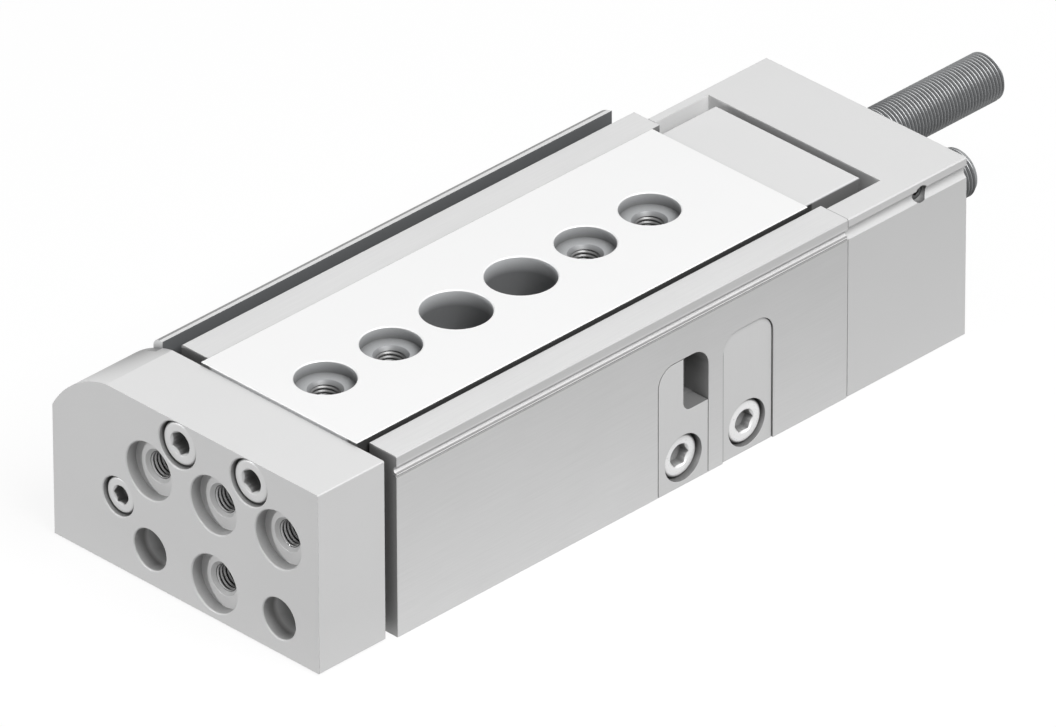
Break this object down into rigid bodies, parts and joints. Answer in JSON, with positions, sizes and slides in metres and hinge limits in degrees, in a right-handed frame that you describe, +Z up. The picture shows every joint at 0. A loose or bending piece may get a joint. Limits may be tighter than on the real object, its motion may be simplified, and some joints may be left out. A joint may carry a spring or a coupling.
{
  "type": "pneumatic mini slide",
  "caption": "Compact pneumatic slide: a ball-guided steel table and yoke plate run along an aluminium housing with a cylinder beside the guide and adjustable stops at the rear.",
  "frame": {"origin": "midway between the two base mounting holes, on the flat base face", "axes": "-Y is the way the table and yoke advance, +Z is up out of the table, +X is to the right seen from the yoke"},
  "size_m": [0.0416, 0.1215, 0.0234],
  "materials": {
    "housing": "brushed, clear anodised",
    "end_cap": "fine blasted, clear anodised",
    "yoke_plate": "fine milled, clear anodised",
    "slide_table": "ground top, bright",
    "side_guard": "brushed, clear anodised",
    "side_plate": "brushed, clear anodised",
    "screw": "bright stainless",
    "stop_thread": "dark rolled thread",
    "buffer": "matte elastomer",
    "seal": "matte elastomer",
    "rod": "hard chromed",
    "piston": "turned",
    "magnet": "dull",
    "bearing": "turned bronze",
    "rail": "hardened and ground",
    "ball": "polished",
    "cage": "machined",
    "clamp": "turned",
    "grub_screw": "blackened",
    "spring_steel": "blued"
  },
  "bodies": {
    "housing": {"housing": "housing", "side_plate_front": "side_plate", "side_plate_rear": "side_plate", "side_plate_screws": "screw", "guide_rail_right": "rail", "guide_rail_left": "rail", "rod_bearing": "bearing", "rod_seal": "seal", "retaining_ring": "spring_steel", "end_cap": "end_cap", "cap_screws": "screw", "cap_seal": "seal", "clamp_screw": "grub_screw", "clamp_pin": "clamp"},
    "slide": {"slide_table": "slide_table", "yoke_plate": "yoke_plate", "yoke_screws": "screw", "rod_screw": "screw", "side_guard": "side_guard", "guard_screw": "screw", "piston_rod": "rod", "piston": "piston", "piston_seals": "seal", "piston_magnet": "magnet", "piston_buffers": "buffer"},
    "cage_right": {"ball_cage_right": "cage", "balls_right": "ball"},
    "cage_left": {"ball_cage_left": "cage", "balls_left": "ball"},
    "long_stop_core": {"long_stop_buffer": "buffer"},
    "long_stop_screw": {"long_stop_sleeve": "stop_thread"},
    "short_stop_core": {"short_stop_buffer": "buffer"},
    "short_stop_screw": {"short_stop_sleeve": "stop_thread"}
  },
  "joints": [
    {"name": "table_slide", "type": "slide", "parent": "housing", "child": "slide", "axis": [0, -1, 0], "range_m": [0, 0.04]},
    {"name": "cage_right_run", "type": "slide", "parent": "housing", "child": "cage_right", "axis": [0, -1, 0], "range_m": [0, 0.02]},
    {"name": "cage_left_run", "type": "slide", "parent": "housing", "child": "cage_left", "axis": [0, -1, 0], "range_m": [0, 0.02]},
    {"name": "long_stop_feed", "type": "slide", "parent": "housing", "child": "long_stop_core", "axis": [0, 1, 0], "range_m": [0, 0.006]},
    {"name": "long_stop_turn", "type": "hinge", "parent": "long_stop_core", "child": "long_stop_screw", "pos_m": [-0.00056, 0.06, 0.0174], "axis": [0, -1, 0], "range_deg": [0, 4320]},
    {"name": "short_stop_feed", "type": "slide", "parent": "housing", "child": "short_stop_core", "axis": [0, 1, 0], "range_m": [0, 0.005]},
    {"name": "short_stop_turn", "type": "hinge", "parent": "short_stop_core", "child": "short_stop_screw", "pos_m": [0.01172, 0.056, 0.0174], "axis": [0, -1, 0], "range_deg": [0, 3600]}
  ],
  "couplings": [
    {"joint": "cage_right_run", "follows": "table_slide", "ratio": 0.5},
    {"joint": "cage_left_run", "follows": "table_slide", "ratio": 0.5},
    {"joint": "long_stop_turn", "follows": "long_stop_feed", "rad_per_m": 12566},
    {"joint": "short_stop_turn", "follows": "short_stop_feed", "rad_per_m": 12566}
  ]
}
